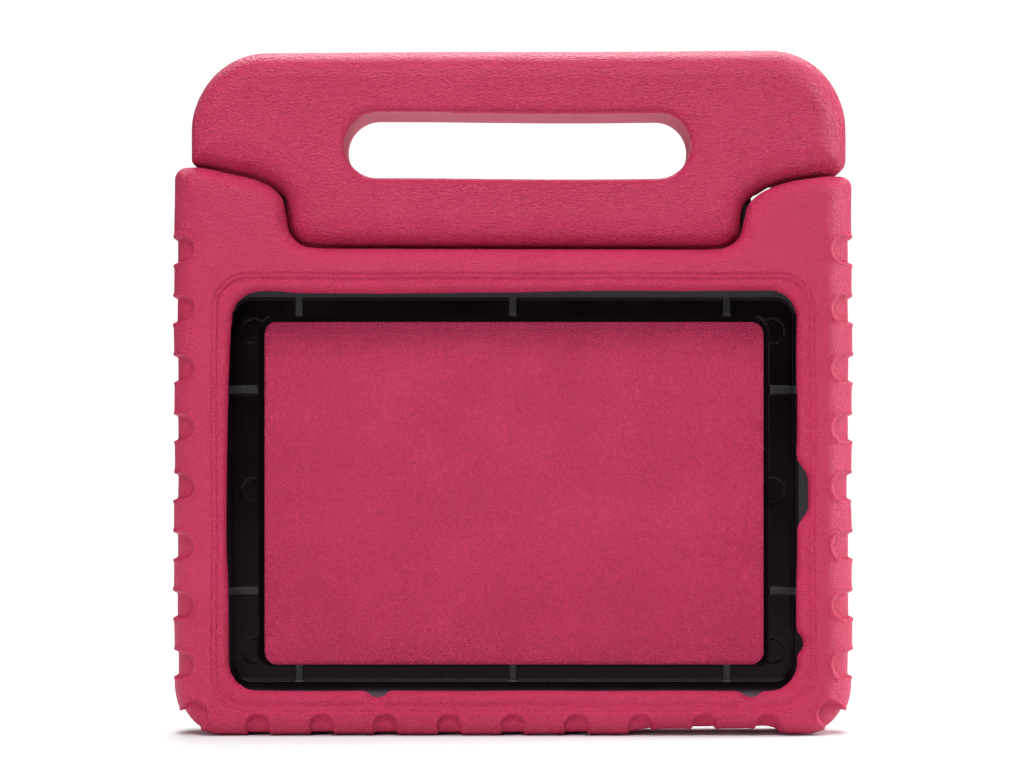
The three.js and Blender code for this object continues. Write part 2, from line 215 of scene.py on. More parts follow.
def scallop_inset(x, z):
    """How deep the grip scallops of the sides, the foot and its corners lie, with a fine bead round each."""
    nearest = np.full(np.broadcast(x, z).shape, 1e9)
    side = BODY_HALF - np.abs(x)
    half, reach = SIDE_SCALLOP["half"], SIDE_SCALLOP["reach"]
    for i in range(SIDE_SCALLOP["count"]):
        up = z - SIDE_SCALLOP["first"] - i * SIDE_SCALLOP["pitch"]
        nearest = np.minimum(nearest, finger(side - reach + half, up, half))
    half, reach = FOOT_SCALLOP["half"], FOOT_SCALLOP["reach"]
    for i in range(FOOT_SCALLOP["count"]):
        across = x - (i - (FOOT_SCALLOP["count"] - 1) / 2) * FOOT_SCALLOP["pitch"]
        nearest = np.minimum(nearest, finger(z - reach + half, across, half))
    corner_x = BODY_HALF - CORNER_SCALLOP["in_x"]
    corner_z = CORNER_SCALLOP["z"]
    inward = (corner_x - np.abs(x) + z - corner_z) * math.sqrt(0.5)
    across = (np.abs(x) - corner_x + z - corner_z) * math.sqrt(0.5)
    corner = finger(inward + CORNER_SCALLOP["short"], across, CORNER_SCALLOP["half"])
    nearest = np.minimum(nearest, corner)
    share = 0.6 + 0.4 * smoothstep(2, 9, z)
    return share * (SCALLOP_DEPTH * inside(nearest, SCALLOP_EDGE) - SCALLOP_BEAD * hump(nearest, 1.0, 1.1))


def foot_hollow(x, z):
    """How far the right part of the foot is pressed in."""
    along = smoothstep(42, 60, x) * (1 - smoothstep(99, 110, x))
    return FOOT_HOLLOW * along * (1 - smoothstep(5, 24, z))


def body_edge(x, z, line):
    """Distance to the body's outline, with the slight waviness of moulded foam."""
    wave = 0.15 * np.sin(z * 0.061 + 1.3 + x * 0.004) + 0.1 * np.sin(z * 0.17 + x * 0.03)
    sides = np.abs(x) - BODY_HALF + BODY_SHRINK + wave
    foot = foot_hollow(x, z) - z + FOOT_LIFT + 0.12 * np.sin(x * 0.07)
    return rounded(rounded(sides, foot, FOOT_CORNER), line, EAR_CORNER)


def home_notch(x, z):
    """Distance to the notch for the home button, which narrows towards its floor."""
    slope = HOME_NOTCH["slope"]
    beyond = x - HOME_NOTCH["floor_x"]
    side = np.abs(z - HOME_NOTCH["middle_z"]) - HOME_NOTCH["half"] + beyond * slope
    notch = rounded(side / math.hypot(1, slope), beyond, HOME_NOTCH["corner"])
    return np.maximum(notch, HOME_NOTCH["open_x"] - x)


def front_opening(x, z):
    """Distance to the opening in the lip, with its home button notch and thumb notches."""
    left = (1 - smoothstep(-60, 60, x)) * (1.1 * hump(z, 92, 70) - 1.2 * smoothstep(150, 168, z))
    top = 1.0 * hump(x, -96, 16) * smoothstep(150, 170, z)
    ripple = 0.1 * np.sin(x * 0.11 + 0.7) + 0.12 * np.sin(z * 0.13 + 1.1)
    opening = rectangle(x, z, **OPENING) - left - top + ripple
    opening = soft_min(opening, home_notch(x, z), 1.0)
    for middle_x, middle_z in THUMB_NOTCHES:
        opening = soft_min(opening, np.hypot(x - middle_x, z - middle_z) - THUMB_RADIUS, 1.2)
    return opening


def lip_recess(x, z):
    """How far the lip lies behind the front face: two fine steps, and a dip round each notch."""
    wobble = 0.16 * np.sin(x * 0.09 + 0.4) + 0.16 * np.sin(z * 0.075 + 1.9)
    step = rectangle(x, z, **LIP_STEP) + wobble
    recess = 0.6 * inside(step - 1.9, 0.7) + 0.5 * inside(step, 0.7) + 0.25 * hump(step + 0.8, 0, 1.8)
    radius = THUMB_RADIUS + THUMB_DIP["border"]
    for middle_x, middle_z in THUMB_NOTCHES:
        dip = inside(np.hypot(x - middle_x, z - middle_z) - radius, 1.2)
        recess = recess + THUMB_DIP["depth"] * dip
    return recess


def lip_wrinkles(x, z):
    """Small creases where the lip was pulled over the tray, mostly at the top and the right."""
    right = hump(x, 113.7, 3) * (hump(z, 140, 30) + 0.5 * hump(z, 60, 25))
    top = hump(z, 177, 3.5) * hump(x, -96, 22)
    creases = np.sin(z * 0.9 + 2.2 * np.sin(z * 0.31) + x * 1.3) * right
    return 0.1 * (creases + np.sin(x * 0.8 + 1.7 * np.sin(x * 0.23) + z * 1.1) * top)


def body_plan(x, z):
    """The parts of the body's shape that don't depend on y."""
    line = shoulder(x, z)
    wedge = 0.1 * hump(x, 101, 8)
    near_line = smoothstep(-15, -4, line) * (1 - smoothstep(121, 131, np.abs(x)))
    low_round = FOOT_ROUND + (SIDE_ROUND - FOOT_ROUND) * smoothstep(4, 18, z)
    return {
        "near_line": near_line,
        "line": line + HALF_GAP + wedge,
        "round": low_round + (SHOULDER_ROUND - low_round) * near_line,
        "inset": scallop_inset(x, z),
        "opening": front_opening(x, z),
        "recess": lip_recess(x, z) + lip_wrinkles(x, z),
        "pocket": rectangle(x, z, **POCKET),
        "groove": 0.5 * hump(rectangle(x, z, **BACK_GROOVE), 0, 1.4),
    }


def edge_round(plan, y):
    """The outer edges' radius, which is small where the gap meets the back."""
    at_back = plan["near_line"] * smoothstep(-2, 2, y)
    return plan["round"] + (BACK_ROUND - plan["round"]) * at_back


def body_field(x, y, z):
    plan = body_plan(x, z)
    front = plan["recess"] - y - BODY_DEEP
    back = plan["groove"] + y - BODY_DEEP
    edge = body_edge(x, z, plan["line"] + gap_step(x, y))
    solid = rounded(edge, np.maximum(front, back), edge_round(plan, y)) + plan["inset"]
    through_lip = np.maximum(plan["opening"], y - LIP_CUT_BACK)
    solid = soft_max(solid, -through_lip, LIP_ROUND)
    pocket = np.maximum(plan["pocket"], np.maximum(LIP_BACK - y, y - PANEL_Y))
    solid = np.maximum(solid, -pocket)
    return np.maximum(solid, -np.minimum(hinge_pocket(x, y, z), port(x, y, z)))


def hinge_pocket(x, y, z):
    """The room in each ear for the bracket plate and the pin's head."""
    reach = np.abs(x)
    radius = np.hypot(y - PIVOT_Y, z - PIVOT_Z)
    nearest = 1e9
    for room in (HINGE_PLATE, PIN_ROOM):
        disc = np.maximum(radius - room["radius"], np.abs(reach - room["middle_x"]) - room["half"])
        nearest = np.minimum(nearest, disc)
    return np.maximum(nearest, y - HINGE_BACK)


def port(x, y, z):
    """The charging port's cut through the right side."""
    cut = rounded(np.abs(y - PORT["y"]) - PORT["half_y"], np.abs(z - POCKET_Z) - PORT["half_z"], 1.5)
    return np.maximum(cut, PORT["inner_x"] - x)


# ---- Handle's foam ----

def handle_plan(x, z):
    shifted = x - HANDLE_SHIFT
    line = shoulder(x, z)
    sides = np.abs(shifted) - HANDLE_HALF + 0.2 * np.sin(z * 0.08)
    top = z - HANDLE_TOP - 0.004 * x + 0.1 * np.sin(x * 0.05)
    near_line = 1 - smoothstep(4, 15, line)
    side_round = HANDLE_ROUND - 3.5 * smoothstep(118, 130, np.abs(shifted)) * (1 - smoothstep(236, 256, z))
    return {
        "near_line": near_line,
        "rim": rounded(sides, top, HANDLE_CORNER),
        "line": HALF_GAP - line,
        "low_corner": 2.2 + 3 * smoothstep(-60, 60, x),
        "round": side_round + (HANDLE_LOW_ROUND - side_round) * near_line,
        "slot": slot_outline(x, z),
    }


def slot_outline(x, z):
    bow = 0.25 * np.sin(x * 0.045 + 0.6)
    return stadium(x - SLOT["middle_x"], z - SLOT["middle_z"] + bow, SLOT["half_x"], SLOT["half_z"])


def hinge_recess(x, y, z):
    """The room round each bracket plate, which the handle's foam turns past."""
    reach = np.abs(x)
    radius = np.hypot(y - PIVOT_Y, z - PIVOT_Z)
    across = np.maximum(RECESS["inner"] - reach, reach - RECESS["outer"])
    return np.maximum(np.maximum(radius - RECESS["radius"], across), y - HINGE_BACK)


def handle_field(x, y, z):
    plan = handle_plan(x, z)
    depth = np.abs(y) - HANDLE_DEEP
    edge = rounded(plan["rim"], plan["line"] - gap_step(x, y), plan["low_corner"])
    solid = rounded(edge, depth, edge_round(plan, y))
    solid = np.maximum(solid, rounded(-plan["slot"], depth, SLOT_ROUND))
    return np.maximum(solid, -hinge_recess(x, y, z))


# ---- Tray ----

TRAY_HALF = TRAY_HIGH[0]
TRAY_RIM = TRAY_LOW[1]
TRAY_OUTLINE = {"half_x": TRAY_HALF, "half_z": 86.7, "corner": 12.7}
TRAY_EDGE = 0.6
FLOOR_STEP = 1.1
FILLET = {"height": 4.2, "width": 8.4}
TRAY_FLOOR = {"half_x": 111.6, "half_z": 75.8, "corner": 8, "middle_z": 96.9}
FLOOR_Y = -2.2
RIBS = {"x": [-85, 0, 85], "z": [POCKET_Z - 40, POCKET_Z + 40], "half": 1.5, "height": 0.8}
MARKS = {"x": 103, "z": [32.8, POCKET_Z, 159.6], "radius": 4.8, "depth": 0.16, "rim": 0.12}
WINDOW = {"half_x": 99.1, "half_z": 68.1, "corner": 5.2, "middle_z": 95.1, "bevel": 2.2}
WINDOW_SHIFT = 0.4
ARM = {"inner": 99, "outer": 115, "bottom": 175, "top": 210}


def tray_height(x, z):
    """How far the tray's inner surface stands in front of the tray's back."""
    floor = rectangle(x, z, **TRAY_FLOOR)
    step = FLOOR_STEP * smoothstep(-0.5, 0.6, floor)
    fillet = FILLET["height"] * np.clip(floor / FILLET["width"], 0, 1) ** 1.7
    height = -FLOOR_Y + step + fillet
    nearest = 1e9
    for middle in RIBS["x"]:
        nearest = np.minimum(nearest, np.abs(x - middle))
    for middle in RIBS["z"]:
        nearest = np.minimum(nearest, np.abs(z - middle))
    height = np.maximum(height, -FLOOR_Y + RIBS["height"] * inside(nearest - RIBS["half"], 0.7))
    for middle in MARKS["z"]:
        ring = np.hypot(np.abs(x) - MARKS["x"], z - middle) - MARKS["radius"]
        height = height - MARKS["depth"] * inside(ring, 0.5) - MARKS["rim"] * hump(ring, 0, 0.6)
    return height


def tray_arms(x, y, z):
    """The two hidden arms that reach up into the ears."""
    reach = np.abs(x)
    arm_x = np.maximum(ARM["inner"] - reach, reach - ARM["outer"])
    arm_z = np.maximum(ARM["bottom"] - z, z - ARM["top"])
    arm_y = np.maximum(FLOOR_Y - y, y)
    return rounded(rounded(arm_x, arm_z, 2), arm_y, 0.5)


def tray_field(x, y, z):
    outline = rectangle(x, z, **TRAY_OUTLINE)
    front = np.maximum((-tray_height(x, z) - y) / 1.15, TRAY_RIM - y)
    solid = rounded(outline, np.maximum(front, y), TRAY_EDGE)
    bevel = WINDOW["bevel"] * y / FLOOR_Y
    window = rectangle(
        x - WINDOW_SHIFT, z, WINDOW["half_x"] + bevel, WINDOW["half_z"] + bevel / 2,
        WINDOW["corner"], WINDOW["middle_z"] + bevel / 2,
    )
    solid = soft_max(solid, -window / 1.4, 0.4)
    return np.maximum(np.minimum(solid, tray_arms(x, y, z)), -port(x, y, z))


# ---- Meshing ----

def grid_line(start, *stretches):
    """Sample places on one axis. Each stretch is (where it ends, how far apart its samples are)."""
    places = [np.array([start], float)]
    for end, step in stretches:
        count = max(1, round((end - start) / step))
        places.append(start + (end - start) * np.arange(1, count + 1) / count)
        start = end
    return np.concatenate(places)


def slope(field, points, reach=0.04):
    """The field's gradient at the points, by central differences."""
    columns = []
    for axis in range(3):
        shift = np.zeros(3)
        shift[axis] = reach
        columns.append(field(*(points + shift).T) - field(*(points - shift).T))
    return np.stack(columns, 1) / (2 * reach)


def surface_net(field, lines):
    """Vertices and quads on a field's zero surface: one vertex in each grid cell it crosses."""
    xs, ys, zs = lines
    value = field(xs[:, None, None], ys[None, :, None], zs[None, None, :])
    value = np.broadcast_to(value, (len(xs), len(ys), len(zs)))
    shape = tuple(size - 1 for size in value.shape)
    total = np.zeros((math.prod(shape), 3))
    count = np.zeros(math.prod(shape))
    faces = []
    for axis in range(3):
        other, third = (axis + 1) % 3, (axis + 2) % 3
        before = np.take(value, range(shape[axis]), axis)
        after = np.take(value, range(1, shape[axis] + 1), axis)
        at = np.stack(np.nonzero((before < 0) != (after < 0)), 1)
        start, end = before[tuple(at.T)], after[tuple(at.T)]
        place = np.stack([lines[i][at[:, i]] for i in range(3)], 1)
        length = lines[axis][at[:, axis] + 1] - lines[axis][at[:, axis]]
        place[:, axis] += length * start / (start - end)
        corners = []
        for step_other, step_third in ((1, 1), (0, 1), (0, 0), (1, 0)):
            cell = at.copy()
            cell[:, other] -= step_other
            cell[:, third] -= step_third
            corners.append(np.ravel_multi_index(tuple(cell.T), shape))
            np.add.at(total, corners[-1], place)
            np.add.at(count, corners[-1], 1)
        quads = np.stack(corners, 1)
        quads[start > 0] = quads[start > 0][:, ::-1]
        faces.append(quads)
    used = np.nonzero(count)[0]
    index = np.zeros(len(count), np.int64)
    index[used] = np.arange(len(used))
    return total[used] / count[used][:, None], index[np.concatenate(faces)]


def settle(field, points, steps=3, most=0.5):
    """Moves the points onto the field's zero surface."""
    for _ in range(steps):
        steep = slope(field, points)
        size = np.maximum((steep ** 2).sum(1), 0.2)
        move = steep * (field(*points.T) / size)[:, None]
        length = np.linalg.norm(move, axis=1, keepdims=True)
        points = points - move * np.minimum(1, most / np.maximum(length, 1e-9))
    return points


def mesh_piece(name, field, lines):
    points, faces = surface_net(field, lines)
    points = settle(field, points)
    mesh = bpy.data.meshes.new(name)
    mesh.vertices.add(len(points))
    mesh.vertices.foreach_set("co", (points * MM).astype(np.float32).ravel())
    mesh.loops.add(faces.size)
    mesh.loops.foreach_set("vertex_index", faces.ravel().astype(np.int32))
    mesh.polygons.add(len(faces))
    mesh.polygons.foreach_set("loop_start", np.arange(0, faces.size, 4, dtype=np.int32))
    mesh.update(calc_edges=True)
    mesh.validate()
    mesh.shade_smooth()
    normals = slope(field, points)
    normals /= np.maximum(np.linalg.norm(normals, axis=1, keepdims=True), 1e-9)
    mesh.normals_split_custom_set_from_vertices(normals.tolist())
    piece = bpy.data.objects.new(name, mesh)
    bpy.context.scene.collection.objects.link(piece)
    return piece


def face_rows(piece, key):
    """The "center" or the "normal" of each face, one row per face."""
    rows = np.zeros(len(piece.data.polygons) * 3, np.float32)
    piece.data.polygons.foreach_get(key, rows)
    return rows.reshape(-1, 3)


def paint(piece, materials, index):
    for material in materials:
        piece.data.materials.append(material)
    piece.data.polygons.foreach_set("material_index", index.astype(np.int32))


# ---- Materials ----

class Nodes:
    """Short ways to add and link a material's nodes."""

    def __init__(self, name):
        self.material = bpy.data.materials.new(name)
        self.material.use_nodes = True
        self.tree = self.material.node_tree
        self.shader = self.tree.nodes["Principled BSDF"]
        self.place = self.add("ShaderNodeTexCoord").outputs["Object"]

    def add(self, kind, **settings):
        node = self.tree.nodes.new(kind)
        for key, value in settings.items():
            setattr(node, key, value)
        return node

    def feed(self, socket, value):
        """Links an output to the socket, or sets the socket to a plain value."""
        if isinstance(value, bpy.types.NodeSocket):
            self.tree.links.new(value, socket)
        else:
            socket.default_value = value

    def math(self, operation, a, b=0.0, clamp=False):
        node = self.add("ShaderNodeMath", operation=operation, use_clamp=clamp)
        self.feed(node.inputs[0], a)
        self.feed(node.inputs[1], b)
        return node.outputs[0]

    def stretch(self, scale):
        """The place in millimetres, times a scale on each axis."""
        node = self.add("ShaderNodeMapping")
        self.feed(node.inputs["Vector"], self.place)
        node.inputs["Scale"].default_value = [value / MM for value in scale]
        return node.outputs["Vector"]

    def noise(self, place, scale, detail=2.0, roughness=0.5, output="Fac"):
        node = self.add("ShaderNodeTexNoise")
        self.feed(node.inputs["Vector"], place)
        node.inputs["Scale"].default_value = scale
        node.inputs["Detail"].default_value = detail
        node.inputs["Roughness"].default_value = roughness
        return node.outputs[output]

    def cells(self, place, scale, smooth):
        node = self.add("ShaderNodeTexVoronoi", feature="SMOOTH_F1")
        self.feed(node.inputs["Vector"], place)
        node.inputs["Scale"].default_value = scale
        node.inputs["Smoothness"].default_value = smooth
        return node.outputs["Distance"]

    def warp(self, place, scale, amount):
        """The place pushed about by a slow noise."""
        push = self.noise(place, scale, output="Color")
        centred = self.add("ShaderNodeVectorMath", operation="SUBTRACT")
        self.feed(centred.inputs[0], push)
        centred.inputs[1].default_value = (0.5, 0.5, 0.5)
        scaled = self.add("ShaderNodeVectorMath", operation="SCALE")
        self.feed(scaled.inputs[0], centred.outputs[0])
        scaled.inputs["Scale"].default_value = amount
        moved = self.add("ShaderNodeVectorMath", operation="ADD")
        self.feed(moved.inputs[0], place)
        self.feed(moved.inputs[1], scaled.outputs[0])
        return moved.outputs[0]

    def span(self, value, low, high, to_low=0.0, to_high=1.0):
        """The value eased from to_low at low to to_high at high."""
        node = self.add("ShaderNodeMapRange", interpolation_type="SMOOTHSTEP")
        self.feed(node.inputs["Value"], value)
        node.inputs["From Min"].default_value = low
        node.inputs["From Max"].default_value = high
        self.feed(node.inputs["To Min"], to_low)
        self.feed(node.inputs["To Max"], to_high)
        return node.outputs["Result"]

    def ramp(self, value, *stops):
        """A colour ramp through (place, colour) stops."""
        node = self.add("ShaderNodeValToRGB")
        elements = node.color_ramp.elements
        while len(elements) < len(stops):
            elements.new(0.5)
        for element, (place, colour) in zip(elements, stops):
            element.position = place
            element.color = (*colour, 1)
        self.feed(node.inputs["Fac"], value)
        return node.outputs["Color"]

    def axes(self):
        node = self.add("ShaderNodeSeparateXYZ")
        self.feed(node.inputs[0], self.place)
        return node.outputs

    def bump(self, height, distance, strength):
        """The normal for a height map that is distance millimetres deep."""
        node = self.add("ShaderNodeBump")
        node.inputs["Strength"].default_value = strength
        node.inputs["Distance"].default_value = distance * MM
        self.feed(node.inputs["Height"], height)
        return node.outputs["Normal"]

    def finish(self, colour, roughness, normal, **constants):
        """Feeds the shader. Constants are its other sockets, with _ for each space in the name."""
        self.feed(self.shader.inputs["Base Color"], colour)
        self.feed(self.shader.inputs["Roughness"], roughness)
        self.feed(self.shader.inputs["Normal"], normal)
        for key, value in constants.items():
            self.shader.inputs[key.replace("_", " ")].default_value = value
        return self.material


FOAM_DEEP = (0.50, 0.010, 0.062)
FOAM_MID = (0.60, 0.016, 0.094)
FOAM_PALE = (0.70, 0.034, 0.130)
FOAM_LIGHT = (0.92, 0.058, 0.190)
CUT_FOAM = (0.52, 0.130, 0.185)
FOAM_SHINE = 0.5
FOAM_GRAIN = 1.35
# How much paler the sunk panel is painted: painted light that makes up for the shade it lies in behind the
# lip.
PANEL_PAINTED_LIGHT = 0.36


def wrinkle_height(nodes):
    """Leathery wrinkles: short wavy ridges that run mostly sideways."""
    place = nodes.warp(nodes.stretch((0.85, 1.1, 1.55)), 0.55, 1.3)
    ridges = nodes.noise(place, 0.8, detail=2.0, roughness=0.45)
    ridges = nodes.math("ABSOLUTE", nodes.math("SUBTRACT", ridges, 0.5))
    ridges = nodes.math("SUBTRACT", 1.0, nodes.math("MULTIPLY", ridges, 6.0), clamp=True)
    cells = nodes.cells(place, 0.8, 0.3)
    return nodes.math("ADD", nodes.math("MULTIPLY", ridges, 0.35), nodes.math("MULTIPLY", cells, 0.9))


def pebble_height(nodes):
    """A fine pebble grain of about one millimetre."""
    place = nodes.warp(nodes.stretch((1.25, 1.25, 1.4)), 1.2, 0.7)
    cells = nodes.cells(place, 1.0, 0.25)
    return nodes.math("ADD", cells, nodes.noise(place, 2.2))


def foam_material(name, wrinkle, pebble, painted_light):
    """Moulded foam. The last three say how strong each grain is and how much painted light pales the colour.
    """
    nodes = Nodes(name)
    wrinkle_share = wrinkle(nodes)
    pebble_share = pebble(nodes)
    wrinkles = wrinkle_height(nodes)
    pebbles = pebble_height(nodes)
    micro = nodes.noise(nodes.stretch((1.6, 1.6, 1.6)), 1.0, detail=3.0)
    height = nodes.math("MULTIPLY", wrinkles, wrinkle_share)
    height = nodes.math("ADD", height, nodes.math("MULTIPLY", pebbles, pebble_share))
    height = nodes.math("ADD", height, nodes.math("MULTIPLY", micro, 0.16))
    cloud = nodes.noise(nodes.stretch((0.03, 0.03, 0.03)), 1.0, detail=3.0)
    speck = nodes.noise(nodes.stretch((1.2, 1.2, 1.2)), 1.0, detail=1.0)
    cloud = nodes.math("ADD", nodes.math("MULTIPLY", cloud, 0.3), nodes.math("MULTIPLY", speck, 0.36))
    # The grain's height pales its ridges and darkens its valleys: painted shade in the grain's creases.
    tone = nodes.math("ADD", nodes.math("MULTIPLY", height, 0.15), cloud)
    tone = nodes.math("ADD", tone, painted_light(nodes))
    colour = nodes.ramp(tone, (0.20, FOAM_DEEP), (0.45, FOAM_MID), (0.78, FOAM_PALE), (1.0, FOAM_LIGHT))
    roughness = nodes.span(tone, 0.1, 0.9, 0.50, 0.38)
    normal = nodes.bump(height, FOAM_GRAIN, 1.0)
    return nodes.finish(colour, roughness, normal, Specular_IOR_Level=FOAM_SHINE)


def panel_mask(nodes):
    """1 on the sunk panel behind the tray's window."""
    axes = nodes.axes()
    side = nodes.math("ABSOLUTE", axes["X"])
    on_panel = nodes.span(axes["Y"], -1.0 * MM, -0.2 * MM)
    in_front = nodes.span(axes["Y"], 2 * MM, 4 * MM, 1.0, 0.0)
    within = nodes.span(side, 119 * MM, 121 * MM, 1.0, 0.0)
    return nodes.math("MULTIPLY", nodes.math("MULTIPLY", on_panel, in_front), within)


def body_foam():
    """Pebbled on the panel and the frame, wrinkled on the left ear and nearly smooth on the right."""
    def wrinkle(nodes):
        axes = nodes.axes()
        ear = nodes.span(axes["X"], -40 * MM, 40 * MM, 0.55, 0.15)
        return nodes.span(axes["Z"], 186 * MM, 200 * MM, 0.12, ear)

    def pebble(nodes):
        return nodes.span(panel_mask(nodes), 0.0, 1.0, 0.40, 1.0)

    # Painted light: the sunk panel is made paler to make up for the shade in its recess.
    def painted_light(nodes):
        return nodes.math("MULTIPLY", panel_mask(nodes), PANEL_PAINTED_LIGHT)

    return foam_material("body_foam", wrinkle, pebble, painted_light)


def handle_foam():
    """Wrinkled all over, with a little pebble between."""
    return foam_material("handle_foam_skin", lambda nodes: 0.75, lambda nodes: 0.3, lambda nodes: 0.0)


def cut_foam():
    """The knife-cut wall of the finger slot: paler, with fine lines along the cut."""
    nodes = Nodes("cut_foam")
    lines = nodes.noise(nodes.stretch((0.02, 1.4, 0.02)), 1.0, detail=4.0, roughness=0.7)
    pores = nodes.noise(nodes.stretch((1.5, 1.5, 1.5)), 1.0, detail=2.0)
    tone = nodes.math("ADD", nodes.math("MULTIPLY", lines, 0.75), nodes.math("MULTIPLY", pores, 0.25))
    colour = nodes.ramp(tone, (0.30, (0.42, 0.080, 0.130)), (0.5, CUT_FOAM), (0.72, (0.60, 0.18, 0.25)))
    roughness = nodes.span(tone, 0.2, 0.8, 0.8, 0.66)
    return nodes.finish(colour, roughness, nodes.bump(tone, 0.25, 0.6), Specular_IOR_Level=0.4)


def plastic(name, dark, light, rough_low, rough_high, grain, grain_depth, **constants):
    """Moulded plastic with a fine spark-eroded grain."""
    nodes = Nodes(name)
    fine = nodes.noise(nodes.stretch((grain, grain, grain)), 1.0, detail=3.0, roughness=0.6)
    cloud = nodes.noise(nodes.stretch((0.05, 0.05, 0.05)), 1.0, detail=3.0)
    tone = nodes.math("ADD", nodes.math("MULTIPLY", fine, 0.5), nodes.math("MULTIPLY", cloud, 0.5))
    colour = nodes.ramp(tone, (0.3, dark), (0.7, light))
    roughness = nodes.span(cloud, 0.25, 0.75, rough_low, rough_high)
    return nodes.finish(colour, roughness, nodes.bump(fine, grain_depth, 0.6), **constants)


def steel():
    nodes = Nodes("steel")
    brushed = nodes.noise(nodes.stretch((6.0, 0.6, 0.6)), 1.0, detail=4.0, roughness=0.6)
    cloud = nodes.noise(nodes.stretch((0.3, 0.3, 0.3)), 1.0)
    colour = nodes.ramp(brushed, (0.3, (0.36, 0.36, 0.37)), (0.7, (0.52, 0.52, 0.53)))
    roughness = nodes.span(cloud, 0.3, 0.7, 0.26, 0.42)
    return nodes.finish(colour, roughness, nodes.bump(brushed, 0.03, 0.5), Metallic=1.0)


# ---- Pieces ----

def fine_near(middles, half, fine, coarse):
    """Stretches of a grid line that are fine near each of the middles and coarse between them."""
    stretches = []
    for middle in middles:
        stretches += [(middle - half, coarse), (middle + half, fine)]
    return stretches


def make_body():
    along_foot = np.arange(FOOT_SCALLOP["count"]) - (FOOT_SCALLOP["count"] - 1) / 2
    foot_scallops = FOOT_SCALLOP["pitch"] * along_foot
    side_scallops = SIDE_SCALLOP["first"] + SIDE_SCALLOP["pitch"] * np.arange(SIDE_SCALLOP["count"] - 1)
    lines = (
        grid_line(
            -138, (-120, 0.8), (-114, 0.5), (-106, 0.8), *fine_near(foot_scallops, 5.4, 0.95, 3),
            (106, 0.8), (114, 0.8), (120, 0.5), (138, 0.8),
        ),
        grid_line(-17, (-8.5, 0.6), (-2, 1.3), (2, 0.8), (17, 1.2)),
        grid_line(
            -3, (8, 0.8), (14, 0.5), *fine_near(side_scallops, 5.8, 0.8, 2.4),
            (177, 0.8), (183, 0.5), (228, 0.85),
        ),
    )
    piece = mesh_piece("foam_body", body_field, lines)
    paint(piece, [body_foam()], np.zeros(len(piece.data.polygons)))
    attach(piece, "case")
    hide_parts("foam_shell")


def make_handle():
    lines = (
        grid_line(-132, (136, 1.15)),
        grid_line(-15, (15, 0.95)),
        grid_line(190, (275, 0.95)),
    )
    piece = mesh_piece("handle_grip", handle_field, lines)
    centres = face_rows(piece, "center") / MM
    beside_slot = np.abs(slot_outline(centres[:, 0], centres[:, 2])) < 0.8
    facing_in = np.abs(face_rows(piece, "normal")[:, 1]) < 0.45
    paint(piece, [handle_foam(), cut_foam()], beside_slot & facing_in)
    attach(piece, "handle")
    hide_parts("handle_foam")


def tray_materials():
    """The tray's plastic, and how it looks on the ribs, on the rim and on the window's edge: the ribs'
    lighter grey is partly painted light, the rim's lighter grey is painted reflection and the edge's blacker
    plastic is painted shade.
    """
    black = plastic(
        "tray_plastic", (0.0008, 0.0003, 0.0003), (0.0020, 0.0010, 0.0012), 0.22, 0.30, 1.1, 0.03,
        Specular_IOR_Level=0.15, Specular_Tint=(1.0, 0.72, 0.92, 1),
    )
    # The ribs' coarser grain and roughness are their own; their lighter grey than the tray is painted light
    # on the ribs.
    rib_grain_and_painted_light = plastic(
        "rib_plastic_painted_light", (0.003, 0.002, 0.003), (0.018, 0.016, 0.021), 0.40, 0.52, 1.6, 0.25,
        Specular_IOR_Level=0.35,
    )
    # Painted reflection: a lighter grey for the rim where it shows the floor and the lamps, at the top band
    # and in the home notch.
    rim = plastic(
        "rim_painted_reflection", (0.014, 0.009, 0.012), (0.020, 0.014, 0.017), 0.34, 0.44, 1.3, 0.05,
        Specular_IOR_Level=0.24,
    )
    # Painted shade: a blacker, duller plastic on the window's bevel, all round the window.
    edge_painted_shade = plastic(
        "window_edge_painted_shade", (0.0005, 0.0002, 0.0003), (0.0012, 0.0006, 0.0008), 0.55, 0.70, 1.1, 0.03,
        Specular_IOR_Level=0.05,
    )
    return [black, rib_grain_and_painted_light, rim, edge_painted_shade]


def tray_zones(piece):
    """Which of the tray's materials each face has."""
    x, y, z = (face_rows(piece, "center") / MM).T
    from_window = rectangle(x, z, WINDOW["half_x"], WINDOW["half_z"], WINDOW["corner"], WINDOW["middle_z"])
    # The window's bevel gets the painted shade.
    on_edge = (from_window < WINDOW["bevel"] + 0.4) & (y > FLOOR_Y + 0.05)
    # The rim is painted lighter only at the top band and in the home notch: a painted reflection.
    top_band = (z > POCKET_Z + 70) & (x > -108)
    in_notch = (x > 113) & (np.abs(z - POCKET_Z) < 25)
    painted_reflection_on_rim = (y < FLOOR_Y - 1) & (top_band | in_notch)
    near_rib = np.min([np.abs(x - middle) for middle in RIBS["x"]], axis=0)
    near_level = np.min([np.abs(z - middle) for middle in RIBS["z"]], axis=0)
    on_rib = (np.minimum(near_rib, near_level) < RIBS["half"]) & (y < FLOOR_Y - 0.4)
    on_rib &= (y > FLOOR_Y - 1.2) & (face_rows(piece, "normal")[:, 1] < -0.5)
    return np.select([on_edge, painted_reflection_on_rim, on_rib], [3, 2, 1], 0)


def make_tray():
    lines = (
        grid_line(
            -124, (-97, 0.55), (-88, 1.5), (-82, 0.5), (-3, 3), (3, 0.5),
            (82, 3), (88, 0.5), (97, 1.5), (124, 0.55),
        ),
        grid_line(-8.5, (1, 0.48)),
        grid_line(
            7, (40, 0.6), (52, 2), (60, 0.6), (90, 2), (103, 0.7),
            (132, 2), (140, 0.6), (153, 2), (186, 0.6), (212, 3),
        ),
    )
    piece = mesh_piece("tray", tray_field, lines)
    paint(piece, tray_materials(), tray_zones(piece))
    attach(piece, "case")
    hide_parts("inner_tray")


